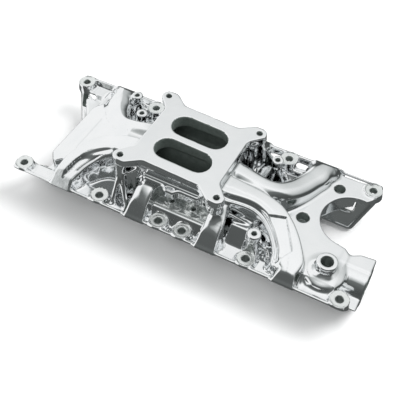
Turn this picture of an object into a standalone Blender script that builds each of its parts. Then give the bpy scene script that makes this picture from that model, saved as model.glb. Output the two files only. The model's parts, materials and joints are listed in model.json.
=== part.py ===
"""Four-barrel dual-plane intake manifold for a small-block 90-degree V8.

The casting is modelled in its named sections: carburettor flange, plenum, eight runners, head flanges, bolt
bosses, coolant crossover, thermostat neck, rails and webs, with the sheet-steel oil shield below them.
Numbers are millimetres in the engine frame: x forward from midway between the banks, y to the engine's left,
z up from the bolt faces. The empty manifold_frame turns that into metres, origin at the base's centre.
"""

import math

import bmesh
import bpy
from mathutils import Matrix, Vector

MM = 0.001
GAP = 0.3  # between neighbouring sections

# Head flanges: two plates at 45 degrees, staggered like the banks.
BORE_SPACING = 111.25
STAGGER = 19.5
BANK_X = {"right": STAGGER / 2, "left": -STAGGER / 2}
SIDE = {"right": -1, "left": 1}
FLANGE_TOP_Y = 110.0  # mating face at bolt-face height
FLANGE_DEPTH = 53.0  # from the bolt faces down to the flange's foot
FLANGE_HALF_LENGTH = 250.5
FLANGE_THICK = 14.0  # measured along y
LEDGE_Z = -8.0
LEDGE_Y, LIP_Y = 81.5, 101.0  # the ledge behind the lip that runs along the top edge
END_CHAMFER = 22.0  # taken off each end of the foot
SLOPE = math.sqrt(0.5)

# Head bolts.
BOLT_Y = 94.3
BOLT_U = (-238.5, -BORE_SPACING, -17.9, 17.9, BORE_SPACING, 238.5)
BOLT_HOLE_R = 5.0
BOSS_R = 12.0

# Ports in the mating face, as distances along the bank (u) and down the slope from its top edge (s).
PORT_WIDTH, PORT_HEIGHT, RUNNER_WALL = 29.0, 50.0, 4.5
RUNNER_WIDTH = PORT_WIDTH + 2 * RUNNER_WALL
RUNNER_HEIGHT = PORT_HEIGHT + 2 * RUNNER_WALL
PORT_S = RUNNER_HEIGHT / 2
WATER_U, WATER_SIZE, WATER_S = (-224.0, 212.0), (20.0, 22.0), 38.0  # rear and front
REAR_WATER_DEPTH = 7.0  # the rear pair are blind pockets
HEAT_SIZE, HEAT_S = (24.0, 20.0), 54.0

# Carburettor flange, tilted down towards the front.
PAD_X, PAD_Z, PAD_TILT = -9.0, 61.0, math.radians(2.81)
PAD_HALF = (64.0, 60.0)
PAD_THICK = 12.0
STUD_X, STUD_Y, STUD_R = 71.45, 65.5, 3.6
TAB_R = 10.0
SLOT_LENGTH, SLOT_WIDTH, SLOT_Y = 82.0, 36.0, 24.0

# Plenum box below it.
PLENUM_HALF_Y, PLENUM_FLOOR, PLENUM_WALL = 61.0, -12.0, 6.0
DIVIDER_HALF = 3.5  # the wall between the two planes
PLENUM_X = (PAD_X - 64.0, PAD_X + 64.0)

# Coolant crossover, distributor notch and thermostat neck.
CROSSOVER_THICK = 27.0
NOTCH_X, NOTCH_Y, NOTCH_R = 222.0, 27.0, 43.0
ARM_X, ARM_THICK = 216.0, 9.0  # the left arm is thin in front of its coolant port
NECK_START, NECK_FRONT = 204.0, 270.5
NECK_DEPTH = 48.0
PASSAGE_R, PASSAGE_Z = 6.5, -14.0
NECK_LINK = [(196, -44, -15), (212, -46, -18), (254, -46, -22)]
THERMOSTAT_R, THERMOSTAT_Y, THERMOSTAT_Z = 17.5, -44.0, -27.0

# Valley parts.
WEB_TOP, WEB_THICK = -40.0, 5.5
RAIL_Z, RAIL_THICK = -37.0, 6.0
RAIL_FACE_Y = 55.0  # the sealing face stops here, short of the head flanges
REAR_X = -204.0

# The base's centre, which is the part's origin.
REAR_END, FRONT_END = -BANK_X["right"] - FLANGE_HALF_LENGTH, NECK_FRONT
MID_X = (REAR_END + FRONT_END) / 2

STEPS = 16  # sides of round pieces


def clear_scene():
    for obj in list(bpy.data.objects):
        bpy.data.objects.remove(obj, do_unlink=True)


def new_collection(name):
    made = bpy.data.collections.new(name)
    bpy.context.scene.collection.children.link(made)
    return made


def new_material(name, colour, roughness, metallic=1.0):
    made = bpy.data.materials.new(name)
    made.use_nodes = True
    shader = made.node_tree.nodes["Principled BSDF"]
    shader.inputs["Base Color"].default_value = (*colour, 1.0)
    shader.inputs["Roughness"].default_value = roughness
    shader.inputs["Metallic"].default_value = metallic
    return made


clear_scene()
PARTS = new_collection("intake_manifold")
POLISHED = new_material("polished_aluminium", (0.90, 0.91, 0.92), 0.06)
MACHINED = new_material("machined_aluminium", (0.82, 0.83, 0.84), 0.22)
STEEL = new_material("zinc_plated_steel", (0.62, 0.63, 0.62), 0.38)
FRAME = bpy.data.objects.new("manifold_frame", None)
FRAME.location = (-MID_X * MM, 0, FLANGE_DEPTH * MM)
PARTS.objects.link(FRAME)
CUTTERS = {name: new_collection(name) for name in ("jackets", "cores", "seats", "tools")}


def place(obj, at=(0, 0, 0), turn=None, material=None, cutter=None):
    """Puts an object in the engine frame, as a part or in a collection of cutters."""
    home = CUTTERS[cutter] if cutter else PARTS
    home.objects.link(obj)
    obj.parent = FRAME
    matrix = turn.to_4x4() if turn else Matrix.Identity(4)
    matrix.translation = Vector(at) * MM
    obj.matrix_local = matrix
    if cutter:
        obj.hide_render = True
        obj.display_type = "WIRE"
    else:
        obj.data.materials.append(material or POLISHED)
    return obj


def from_bmesh(name, bm, smooth_angle=math.radians(35), **where):
    bmesh.ops.scale(bm, vec=(MM, MM, MM), verts=bm.verts)
    bmesh.ops.recalc_face_normals(bm, faces=bm.faces)
    mesh = bpy.data.meshes.new(name)
    bm.to_mesh(mesh)
    bm.free()
    mesh.shade_smooth()
    mesh.set_sharp_from_angle(angle=smooth_angle)
    return place(bpy.data.objects.new(name, mesh), **where)


def block(name, low, high, turn=None, at=(0, 0, 0), **where):
    """A box between two corners, turned about the point at."""
    bm = bmesh.new()
    bmesh.ops.create_cube(bm, size=1.0)
    size = [h - l for l, h in zip(low, high)]
    middle = [(h + l) / 2 for l, h in zip(low, high)]
    bmesh.ops.scale(bm, vec=size, verts=bm.verts)
    bmesh.ops.translate(bm, vec=middle, verts=bm.verts)
    return from_bmesh(name, bm, at=at, turn=turn, **where)


def drum(name, radius, low, high, at=(0, 0), steps=STEPS, top_radius=None, **where):
    """An upright cylinder or cone between two heights."""
    bm = bmesh.new()
    top = radius if top_radius is None else top_radius
    bmesh.ops.create_cone(bm, cap_ends=True, segments=steps, radius1=radius, radius2=top, depth=high - low)
    return from_bmesh(name, bm, at=(at[0], at[1], (low + high) / 2), **where)


def turned(name, profile, at, steps=STEPS, **where):
    """A ring turned about its own z axis from a closed profile of (radius, height), outer side first, going down."""
    mesh = bpy.data.meshes.new(name)
    count = len(profile)
    points = [(r * MM, 0, z * MM) for r, z in profile]
    mesh.from_pydata(points, [(i, (i + 1) % count) for i in range(count)], [])
    obj = place(bpy.data.objects.new(name, mesh), at=at, **where)
    screw = obj.modifiers.new("turn", "SCREW")
    screw.axis = "Z"
    screw.steps = screw.render_steps = steps
    screw.use_merge_vertices = True
    screw.merge_threshold = 0.00001
    screw.use_smooth_shade = False
    return obj


def rounded(corners, steps=3):
    """An outline whose corners (x, y, radius) are arcs of steps + 1 points."""
    outline = []
    count = len(corners)
    for i, (x, y, radius) in enumerate(corners):
        here = Vector((x, y))
        if radius == 0:
            outline.append(here)
            continue
        before = (Vector(corners[i - 1][:2]) - here).normalized()
        after = (Vector(corners[(i + 1) % count][:2]) - here).normalized()
        half = before.angle(after) / 2
        reach = radius / math.tan(half)
        centre = here + (before + after).normalized() * (radius / math.sin(half))
        start, end = here + before * reach - centre, here + after * reach - centre
        sweep = start.angle_signed(end)
        for k in range(steps + 1):
            turn = Matrix.Rotation(-sweep * k / steps, 2)
            outline.append(centre + turn @ start)
    return outline


def box_outline(x, y, width, height, radius, steps=3):
    w, h = width / 2, height / 2
    return rounded([(x - w, y - h, radius), (x + w, y - h, radius), (x + w, y + h, radius), (x - w, y + h, radius)],
                   steps)


def circle(x, y, radius, steps=STEPS):
    angles = [2 * math.pi * k / steps for k in range(steps)]
    return [Vector((x + radius * math.cos(a), y + radius * math.sin(a))) for a in angles]


def arc(x, y, radius, start, end, steps):
    """Points of an arc, angles in degrees."""
    angles = [math.radians(start + (end - start) * k / steps) for k in range(steps + 1)]
    return [Vector((x + radius * math.cos(a), y + radius * math.sin(a))) for a in angles]


def plate(name, outlines, low, high, at=(0, 0, 0), turn=None, **where):
    """A flat plate between two heights: the first outline, with the others as holes. It is returned as a mesh."""
    curve = bpy.data.curves.new(name, "CURVE")
    curve.dimensions = "2D"
    curve.fill_mode = "BOTH"
    curve.extrude = (high - low) / 2 * MM
    for outline in outlines:
        spline = curve.splines.new("POLY")
        spline.points.add(len(outline) - 1)
        for point, (x, y) in zip(spline.points, outline):
            point.co = (x * MM, y * MM, 0, 1)
        spline.use_cyclic_u = True
    guide = bpy.data.objects.new(name + "_guide", curve)
    bpy.context.scene.collection.objects.link(guide)
    bm = bmesh.new()
    bm.from_mesh(bpy.data.meshes.new_from_object(guide.evaluated_get(bpy.context.evaluated_depsgraph_get())))
    bpy.data.objects.remove(guide, do_unlink=True)
    bmesh.ops.remove_doubles(bm, verts=bm.verts, dist=0.00001)
    bmesh.ops.scale(bm, vec=(1 / MM, 1 / MM, 1 / MM), verts=bm.verts)
    bmesh.ops.translate(bm, vec=(0, 0, (low + high) / 2), verts=bm.verts)
    return from_bmesh(name, bm, at=at, turn=turn, **where)


def cut(obj, *tools):
    """Takes cutters, or whole collections of them, away from an object."""
    for tool in tools:
        modifier = obj.modifiers.new("cut", "BOOLEAN")
        modifier.operation = "DIFFERENCE"
        if isinstance(tool, bpy.types.Collection):
            modifier.operand_type = "COLLECTION"
            modifier.collection = tool
        else:
            modifier.object = tool
    return obj


def join(obj, *tools):
    for tool in tools:
        modifier = obj.modifiers.new("join", "BOOLEAN")
        modifier.operation = "UNION"
        modifier.object = tool
    return obj


# Frames of the mating faces: local x along the bank, local y up the slope, local z towards the head.
def mating_turn(bank):
    side = SIDE[bank]
    up_slope = Vector((0, side * SLOPE, SLOPE))
    outward = Vector((0, side * SLOPE, -SLOPE))
    along = up_slope.cross(outward)
    return Matrix((along, up_slope, outward)).transposed()


def on_face(bank, u, s, back=0.0):
    """The point u along the bank and s down the slope, back millimetres inside the mating face."""
    side = SIDE[bank]
    y = FLANGE_TOP_Y - (s + back) * SLOPE
    return Vector((BANK_X[bank] + u, side * y, (back - s) * SLOPE))


# Runners.
def ring_points(centre, across, up, width, height, corner):
    outline = box_outline(0, 0, width, height, min(corner, width / 2 - 0.5), steps=2)
    return [centre + across * x + up * y for x, y in outline]


def spline_at(values, t):
    """Catmull-Rom through a list of vectors, t from 0 to 1."""
    spans = len(values) - 1
    position = min(t * spans, spans - 1e-6)
    i = int(position)
    f = position - i
    ends = [2 * values[0] - values[1], *values, 2 * values[-1] - values[-2]]
    a, b, c, d = ends[i:i + 4]
    return 0.5 * (2 * b + (c - a) * f + (2 * a - 5 * b + 4 * c - d) * f * f + (3 * b - a - 3 * c + d) * f ** 3)


def runner_rings(stations, bank, start_normal, count, grow, lead):
    """Rings from the plenum wall to the mating face. A station is (x, y, z, width, height) outside the wall."""
    values = [Vector(s) for s in stations]
    side = SIDE[bank]
    port_axis = Vector((0, side * SLOPE, -SLOPE))
    port_up = Vector((0, side * SLOPE, SLOPE))
    rings = []
    for k in range(count + 1):
        t = k / count
        here = spline_at(values, t)
        ahead = spline_at(values, min(t + 0.02, 1.0)) - spline_at(values, max(t - 0.02, 0.0))
        tangent = Vector(ahead[:3]).normalized()
        turn_in = max(0.0, (t - 0.45) / 0.55)
        tangent = start_normal if k == 0 else tangent.lerp(port_axis, turn_in ** 2).normalized()
        up = Vector((0, 0, 1)).lerp(port_up, turn_in).normalized()
        up = (up - tangent * up.dot(tangent)).normalized()
        across = tangent.cross(up).normalized()
        width, height = here[3] + 2 * grow, here[4] + 2 * grow
        corner = (9.0 if grow >= 0 else 6.0) if k < count else 5.0
        rings.append(ring_points(Vector(here[:3]), across, up, width, height, corner))
    if lead:
        rings.insert(0, [p - start_normal * lead for p in rings[0]])
        rings.append([p + port_axis * lead for p in rings[-1]])
    return rings


def loft(bm, rings):
    """Joins rings of equal length by triangles and returns the rings' vertices."""
    made = [[bm.verts.new(p) for p in ring] for ring in rings]
    count = len(made[0])
    for a, b in zip(made, made[1:]):
        for i in range(count):
            j = (i + 1) % count
            bm.faces.new((a[i], a[j], b[j]))
            bm.faces.new((a[i], b[j], b[i]))
    return made


def solid_loft(name, rings, **where):
    bm = bmesh.new()
    made = loft(bm, rings)
    bm.faces.new(made[0])
    bm.faces.new(made[-1])
    return from_bmesh(name, bm, **where)


def duct(name, outer, inner):
    """A hollow runner: outer and inner skins joined round both mouths."""
    bm = bmesh.new()
    outside, inside = loft(bm, outer), loft(bm, inner)
    count = len(outside[0])
    for end in (0, -1):
        for i in range(count):
            j = (i + 1) % count
            bm.faces.new((outside[end][i], outside[end][j], inside[end][j], inside[end][i]))
    return from_bmesh(name, bm)


FRONT, REAR = Vector((1, 0, 0)), Vector((-1, 0, 0))
RIGHT, LEFT = Vector((0, -1, 0)), Vector((0, 1, 0))
PLENUM_FRONT, PLENUM_REAR = PLENUM_X[1] + GAP, PLENUM_X[0] - GAP
PLENUM_SIDE = PLENUM_HALF_Y + GAP
SHORT_START = PLENUM_HALF_Y - 5  # the short runners are cut off at the plenum's side
END_SIZE = (RUNNER_WIDTH, RUNNER_HEIGHT)
ELBOW_RING = 5  # a long runner's elbow, which turns down into the head, starts at this ring


def port_end(bank, u):
    """The last station, on the mating face, and the one before it, where the port runs straight."""
    return [(*on_face(bank, u, PORT_S, back), *END_SIZE) for back in (26.0, 0.0)]


# name: bank, port's place along the bank in bore spacings, direction out of the plenum, stations on the way.
RUNNERS = {
    "runner_1": ("right", 1.5, FRONT, [(PLENUM_FRONT, -31, 21, 38, 42), (100, -31, 19, 38, 42),
                                       (131, -38, 13, 38, 46), (157, -55, 6, 38, 52)]),
    "runner_2": ("right", 0.5, RIGHT, [(35, -SHORT_START, 13, 34, 40)]),
    "runner_3": ("right", -0.5, RIGHT, [(-45.9, -SHORT_START, 13, 36, 40)]),
    "runner_4": ("right", -1.5, REAR, [(PLENUM_REAR, -29, 21, 38, 42), (-104, -29, 19, 38, 42),
                                       (-131, -37, 13, 38, 46), (-150, -55, 6, 38, 52)]),
    "runner_5": ("left", 1.5, FRONT, [(PLENUM_FRONT, 16, 6, 32, 34), (86, 11, 5, 32, 34),
                                      (112, 12, 4, 32, 36), (132, 28, 3, 34, 42), (144, 49, 1, 36, 50)]),
    "runner_6": ("left", 0.5, LEFT, [(33, SHORT_START, 13, 36, 40)]),
    "runner_7": ("left", -0.5, LEFT, [(-52, SHORT_START, 13, 34, 40)]),
    "runner_8": ("left", -1.5, REAR, [(PLENUM_REAR, 22, 6, 32, 34), (-104, 18, 5, 32, 34),
                                      (-133, 22, 4, 32, 36), (-157, 38, 3, 34, 42), (-171, 55, 1, 36, 50)]),
}


def make_runners():
    low = (PLENUM_X[0] - GAP, -PLENUM_SIDE, PLENUM_FLOOR - GAP)
    plenum_room = block("plenum_room", low, (PLENUM_X[1] + GAP, PLENUM_SIDE, PAD_Z), cutter="tools")
    for name, (bank, spacings, normal, stations) in RUNNERS.items():
        ends = port_end(bank, spacings * BORE_SPACING)
        long_way = len(stations) > 1
        path = stations + (ends if long_way else ends[1:])
        count = 9 if long_way else 3
        outer = runner_rings(path, bank, normal, count, 0.0, 0.0)
        inner = runner_rings(path, bank, normal, count, -RUNNER_WALL, 0.0)
        if long_way:
            first, second, third = outer[ELBOW_RING][:3]
            step = (second - first).cross(third - second).normalized() * GAP
            step = step if step.dot(outer[-1][0] - first) > 0 else -step
            duct(name, outer[:ELBOW_RING + 1], inner[:ELBOW_RING + 1])
            outer[ELBOW_RING] = [p + step for p in outer[ELBOW_RING]]
            inner[ELBOW_RING] = [p + step for p in inner[ELBOW_RING]]
            duct(name + "_elbow", outer[ELBOW_RING:], inner[ELBOW_RING:])
        else:
            cut(duct(name, outer, inner), plenum_room, CUTTERS["seats"])
        solid_loft(name + "_jacket", runner_rings(path, bank, normal, count, GAP + 0.1, 0.5), cutter="jackets")
        solid_loft(name + "_core", runner_rings(path, bank, normal, count, -RUNNER_WALL, 9.0), cutter="cores")


# Head flanges and their bolt bosses.
def make_flange(bank):
    side = SIDE[bank]
    profile = [(FLANGE_TOP_Y, 0), (FLANGE_TOP_Y - FLANGE_DEPTH, -FLANGE_DEPTH),
               (FLANGE_TOP_Y - FLANGE_DEPTH - 7, -FLANGE_DEPTH + 7), (LEDGE_Y, LEDGE_Y + FLANGE_THICK - FLANGE_TOP_Y),
               (LEDGE_Y, LEDGE_Z), (LIP_Y, LEDGE_Z), (LIP_Y + 5, 0)]
    turn = Matrix(((0, 0, 1), (side, 0, 0), (0, 1, 0)))
    outline = [Vector(p) for p in profile]
    low, high = BANK_X[bank] - FLANGE_HALF_LENGTH, BANK_X[bank] + FLANGE_HALF_LENGTH
    flange = plate(f"{bank}_head_flange", [outline], low, high, turn=turn)
    cut(flange, CUTTERS["jackets"], CUTTERS["seats"])
    frame = mating_turn(bank)
    head_room = block(f"{bank}_head_room", (-300, -200, 0), (300, 200, 60), frame, on_face(bank, 0, 0), cutter="tools")
    for place_name, u in zip(("rear", "front"), WATER_U):
        end = FLANGE_HALF_LENGTH if u > 0 else -FLANGE_HALF_LENGTH
        inset = math.copysign(END_CHAMFER, u)
        corner = [(end, -24), (end - inset, -80), (end - inset, -120), (end + inset, -120), (end + inset, -24)]
        cut(flange, plate(f"{bank}_{place_name}_corner", [[Vector(p) for p in corner]], -60, 10,
                          on_face(bank, 0, 0), frame, cutter="tools"))
        w, h = WATER_SIZE
        depth = 30 if u > 0 else REAR_WATER_DEPTH
        tool = block(f"{bank}_{place_name}_water_cut", (-w / 2, -h / 2, -depth), (w / 2, h / 2, 5), frame,
                     on_face(bank, u, WATER_S), cutter="tools")
        cut(flange, tool)
    w, h = HEAT_SIZE
    tool = block(f"{bank}_heat_cut", (-w / 2, -h / 2, -30), (w / 2, h / 2, 5), frame,
                 on_face(bank, 0, HEAT_S), cutter="tools")
    cut(flange, tool)
    for number, u in enumerate(BOLT_U, 1):
        x, y = BANK_X[bank] + u, side * BOLT_Y
        label = f"{bank}_bolt_boss_{number}"
        drum(label + "_seat", BOSS_R + GAP, LEDGE_Z, 5, (x, y), cutter="seats")
        hole = drum(label + "_drill", BOLT_HOLE_R, -60, 5, (x, y), steps=12, cutter="tools")
        cut(flange, hole)
        low = LEDGE_Z + GAP
        boss = turned(label, [(BOSS_R, 0), (BOSS_R, low), (BOLT_HOLE_R, low), (BOLT_HOLE_R, 0)], (x, y, 0),
                      material=MACHINED)
        cut(boss, head_room)


# Carburettor flange, plenum and the stud columns.
PAD_TURN = Matrix.Rotation(PAD_TILT, 3, "Y")


def pad_point(x, y, below=0.0):
    """A point of the tilted pad's top face, or that far under it, from the pad's centre."""
    return Vector((PAD_X, 0, PAD_Z)) + PAD_TURN @ Vector((x, y, -below))


def pad_outline():
    half_x, half_y = PAD_HALF
    out_x, out_y = STUD_X + TAB_R, STUD_Y + TAB_R
    quarter = [(half_x, half_y - 18, 12), (out_x, STUD_Y - 4, 4), (out_x, out_y, TAB_R - 0.5),
               (STUD_X - TAB_R, out_y, TAB_R - 0.5), (half_x - 22, half_y, 10)]
    front_left = quarter
    rear_left = [(-x, y, r) for x, y, r in reversed(quarter)]
    rear_right = [(-x, -y, r) for x, y, r in quarter]
    front_right = [(x, -y, r) for x, y, r in reversed(quarter)]
    return rounded(front_left + rear_left + rear_right + front_right)


def slot_outline(y):
    return box_outline(0, y, SLOT_LENGTH, SLOT_WIDTH, SLOT_WIDTH / 2 - 0.2, steps=5)


def make_pad_and_plenum():
    studs = [circle(sx * STUD_X, sy * STUD_Y, STUD_R, 10) for sx in (-1, 1) for sy in (-1, 1)]
    slots = [slot_outline(SLOT_Y), slot_outline(-SLOT_Y)]
    pad_at = (PAD_X, 0, PAD_Z)
    plate("carburettor_flange", [pad_outline(), *slots, *studs], -PAD_THICK, 0, pad_at, PAD_TURN, material=MACHINED)
    above = block("plenum_top_cut", (-150, -150, 0), (150, 150, 60), PAD_TURN, pad_point(0, 0, PAD_THICK + GAP),
                  cutter="tools")
    x0, x1 = PLENUM_X
    half, wall = PLENUM_HALF_Y, PLENUM_WALL
    low = PLENUM_FLOOR + wall + GAP
    inner = wall + GAP
    walls = {
        "plenum_floor": ((x0, -half, PLENUM_FLOOR), (x1, half, PLENUM_FLOOR + wall)),
        "plenum_front_wall": ((x1 - wall, -half, low), (x1, half, PAD_Z)),
        "plenum_rear_wall": ((x0, -half, low), (x0 + wall, half, PAD_Z)),
        "plenum_left_wall": ((x0 + inner, half - wall, low), (x1 - inner, half, PAD_Z)),
        "plenum_right_wall": ((x0 + inner, -half, low), (x1 - inner, wall - half, PAD_Z)),
        "plenum_divider": ((x0 + inner, -DIVIDER_HALF, low), (x1 - inner, DIVIDER_HALF, PAD_Z)),
    }
    for name, corners in walls.items():
        cut(block(name, *corners), above, CUTTERS["cores"])
    for name, sx, sy in (("front_left", 1, 1), ("rear_left", -1, 1), ("rear_right", -1, -1), ("front_right", 1, -1)):
        top = pad_point(sx * STUD_X, sy * STUD_Y, PAD_THICK + GAP)
        at = Vector((top.x, top.y)) + Vector((sx, sy)) * 0.6
        cut(drum(f"{name}_stud_column", 7.6, 24.0, top.z - 0.5, at, steps=12), CUTTERS["jackets"])


# Front end: coolant crossover, thermostat neck, sender boss.
def crossover_outline():
    notch = arc(NOTCH_X, NOTCH_Y, NOTCH_R, 85, 262, 12)
    far_arm = [Vector(p) for p in ((173, 106), (232, 106), (238, 100), (236, 80))]
    near_edge = [Vector(p) for p in ((NECK_START, -28), (NECK_START, -106), (188, -106), (160, -60), (138, -2))]
    notch = [p for p in notch if p.x < NECK_START or p.y > 0]
    return [*near_edge, Vector((150, 40)), *far_arm, *notch]


def flange_trim(bank):
    """Takes away what lies within the gap of the flange's lip, ledge and inner face, or beyond them."""
    inner = FLANGE_TOP_Y - FLANGE_THICK - GAP * 1.5
    ledge_y, ledge_z, lip_y = LEDGE_Y - GAP, LEDGE_Z + GAP, LIP_Y - GAP
    profile = [(200, 90), (lip_y, 90), (lip_y, ledge_z), (ledge_y, ledge_z), (ledge_y, ledge_y - inner),
               (inner - 120, -120), (200, -120)]
    turn = Matrix(((0, 0, 1), (SIDE[bank], 0, 0), (0, 1, 0)))
    return plate(f"{bank}_trim", [[Vector(p) for p in profile]], -400, 400, turn=turn, cutter="tools")


def tube_cut(name, points, radius):
    """A round passage along straight runs, as a cutter."""
    curve = bpy.data.curves.new(name, "CURVE")
    curve.dimensions = "3D"
    curve.bevel_depth = radius * MM
    curve.bevel_resolution = 2
    curve.use_fill_caps = True
    spline = curve.splines.new("POLY")
    spline.points.add(len(points) - 1)
    for point, place_at in zip(spline.points, points):
        point.co = (*(Vector(place_at) * MM), 1)
    guide = bpy.data.objects.new(name + "_guide", curve)
    bpy.context.scene.collection.objects.link(guide)
    bm = bmesh.new()
    bm.from_mesh(bpy.data.meshes.new_from_object(guide.evaluated_get(bpy.context.evaluated_depsgraph_get())))
    bpy.data.objects.remove(guide, do_unlink=True)
    bmesh.ops.remove_doubles(bm, verts=bm.verts, dist=0.00001)
    bmesh.ops.scale(bm, vec=(1 / MM, 1 / MM, 1 / MM), verts=bm.verts)
    return from_bmesh(name, bm, cutter="tools")


def make_front(trims):
    body = plate("coolant_crossover", [crossover_outline()], -CROSSOVER_THICK, 0)
    notch_room = drum("notch_room", NOTCH_R, -60, 10, (NOTCH_X, NOTCH_Y), steps=36, cutter="tools")
    under_arm = block("under_arm", (ARM_X, 60, -60), (300, 130, -ARM_THICK), cutter="tools")
    port_boss = block("left_coolant_port_boss", (189, 52, -44), (ARM_X - 2, 100, -10), cutter="tools")
    join(body, port_boss)
    cut(body, *trims, CUTTERS["jackets"], CUTTERS["seats"], under_arm, notch_room)
    far_port = on_face("left", WATER_U[1], WATER_S, 4)
    inlet = tube_cut("crossover_inlet", [far_port, (199, 77, -18), (187, 69, PASSAGE_Z)], 7.5)
    passage = tube_cut("crossover_passage", [(199, 77, -18), (187, 69, PASSAGE_Z), (172.5, 44, PASSAGE_Z),
                                             (166, 18, PASSAGE_Z), (167, -8, PASSAGE_Z), (180, -30, PASSAGE_Z),
                                             *NECK_LINK], PASSAGE_R)
    cut(body, inlet, passage)
    for name, x, y, radius in (("sender_port", 160, 3, 7.5), ("bypass_port", 186.5, 74.5, 6.5)):
        cut(body, drum(name + "_drill", radius, -14, 5, (x, y), steps=14, cutter="tools"))
    neck_sides = [(NECK_START + GAP, -28), (226, -26), (236, -22), (252, -16), (NECK_FRONT, -15),
                  (NECK_FRONT, -110), (NECK_START + GAP, -110)]
    neck = plate("thermostat_neck", [[Vector(p) for p in neck_sides]], -NECK_DEPTH, 0)
    cut(neck, *trims, CUTTERS["seats"])
    mouth = drum("thermostat_mouth", THERMOSTAT_R, -36, 10, steps=20, cutter="tools")
    mouth.matrix_local = Matrix.Translation(Vector((NECK_FRONT, THERMOSTAT_Y, THERMOSTAT_Z)) * MM) @ Matrix.Rotation(
        math.pi / 2, 4, "Y")
    near_port = on_face("right", WATER_U[1], WATER_S, 4)
    feed = tube_cut("neck_passage", [near_port, (near_port.x + 4, -62, -22), (254, -46, -22)], 8.5)
    link = tube_cut("neck_link", NECK_LINK, PASSAGE_R)
    cut(neck, mouth, feed, link)
    boss_top, boss_low = 20.0, GAP
    profile = [(14.5, boss_top), (14.5, 8), (19, 2.5), (24, boss_low), (8, boss_low), (8, boss_top)]
    heater = turned("heater_hose_boss", profile, (217, -63, 0), steps=20)
    cut(heater, CUTTERS["jackets"])


# Accessory bosses: centre, top radius, foot radius, foot height, top height.
ACCESSORY_BOSSES = {
    "coil_bracket_boss": (121.5, -73.5, 9.2, 12.0, LEDGE_Z + 6, 31.0),
    "throttle_bracket_boss": (93.5, 66.0, 8.4, 10.5, -30.0, 20.0),
    "rear_bracket_boss_outer": (-150.0, 84.5, 8.4, 10.5, -7.5, 19.0),
    "rear_bracket_boss_inner": (-123.5, 57.5, 8.4, 10.5, -30.0, 19.0),
}


def make_accessory_bosses(trims):
    hole = 3.5
    for name, (x, y, head, foot, low, top) in ACCESSORY_BOSSES.items():
        profile = [(head, top), (head, (low + top) / 2), (foot, low), (hole, low), (hole, top)]
        boss = turned(name, profile, (x, y, 0))
        if abs(y) < LEDGE_Y:
            cut(boss, *trims)
        cut(boss, CUTTERS["jackets"], CUTTERS["seats"])


# Right side: choke heat pad with its two bosses, and the long vacuum rail under the flange's edge.
def make_right_side():
    x0, x1 = -19.0, 16.0
    pad = block("choke_heat_pad", (x0, -78.0, LEDGE_Z + GAP), (x1, -PLENUM_SIDE, 8.0))
    cut(pad, CUTTERS["jackets"])
    for name, x in (("choke_tube_boss_rear", -7.0), ("choke_tube_boss_front", 8.5)):
        turned(name, [(6.0, 12.0), (6.0, 8.0 + GAP), (2.6, 8.0 + GAP), (2.6, 12.0)], (x, -69.0, 0), steps=12,
               material=MACHINED)
    low = 34.0
    rail = plate("vacuum_rail", [box_outline(0, 0, 84, 11, 5.3)], 0, 9.0, (PAD_X, -PLENUM_SIDE - 5.6, low))
    cut(rail, drum("vacuum_port_drill", 3.0, 2, 12, steps=10, cutter="tools", at=(0, 0)))
    bpy.data.objects["vacuum_port_drill"].location = Vector((PAD_X, -PLENUM_SIDE - 5.6, low + 7)) * MM


# Rear deck, rails, valley web and the heat crossover under the plenum.
def skewed(half_width):
    """An outline from bank to bank that follows the stagger."""
    corners = [(side * half_width, bank) for bank, side in (("right", -1), ("right", 1), ("left", 1), ("left", -1))]
    return [Vector((BANK_X[bank] + x, SIDE[bank] * 95)) for x, bank in corners]


def make_valley(trims):
    profile = [(REAR_X, -1), (REAR_X, RAIL_Z + RAIL_THICK + GAP), (REAR_X + 6, RAIL_Z + RAIL_THICK + GAP),
               (REAR_X + 6, -6), (-150, 12), (-150, 20), (-158, 20)]
    along_y = Matrix(((1, 0, 0), (0, 0, -1), (0, 1, 0)))
    deck = plate("rear_deck", [[Vector(p) for p in profile]], -54, 76, turn=along_y)
    cut(deck, *trims, CUTTERS["jackets"])
    foot = [(REAR_X - 9, -70), (REAR_X + 13, -70), (REAR_X + 13, 70), (REAR_X - 9, 70)]
    rear = plate("rear_end_rail", [[Vector(p) for p in foot]], RAIL_Z, RAIL_Z + RAIL_THICK)
    reliefs = [block(f"{bank}_rail_relief", (-300, min(side * RAIL_FACE_Y, side * 100), RAIL_Z - 5),
                     (300, max(side * RAIL_FACE_Y, side * 100), RAIL_Z + 2), cutter="tools")
               for bank, side in SIDE.items()]
    cut(rear, *trims, CUTTERS["jackets"], *reliefs)
    front_profile = [(150, RAIL_Z), (172, RAIL_Z), (172, RAIL_Z + RAIL_THICK - 1), (168, -CROSSOVER_THICK - GAP),
                     (158, -CROSSOVER_THICK - GAP), (150, RAIL_Z + RAIL_THICK - 1)]
    front = plate("front_end_rail", [[Vector(p) for p in front_profile]], -78, 78, turn=along_y)
    cut(front, *trims, CUTTERS["jackets"], *reliefs)
    web_low = WEB_TOP - WEB_THICK
    web = [(REAR_X + 14, -60), (149.5, -60), (149.5, 60), (REAR_X + 14, 60)]
    floor = plate("valley_web", [[Vector(p) for p in web]], web_low, WEB_TOP)
    cut(floor, *trims)
    heat = plate("heat_crossover", [skewed(19)], WEB_TOP + GAP, PLENUM_FLOOR - GAP)
    bore = plate("heat_bore", [skewed(12)], -35.5, -17, cutter="tools")
    cut(heat, bore, *trims, CUTTERS["jackets"])
    make_shield(web_low)


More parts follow.
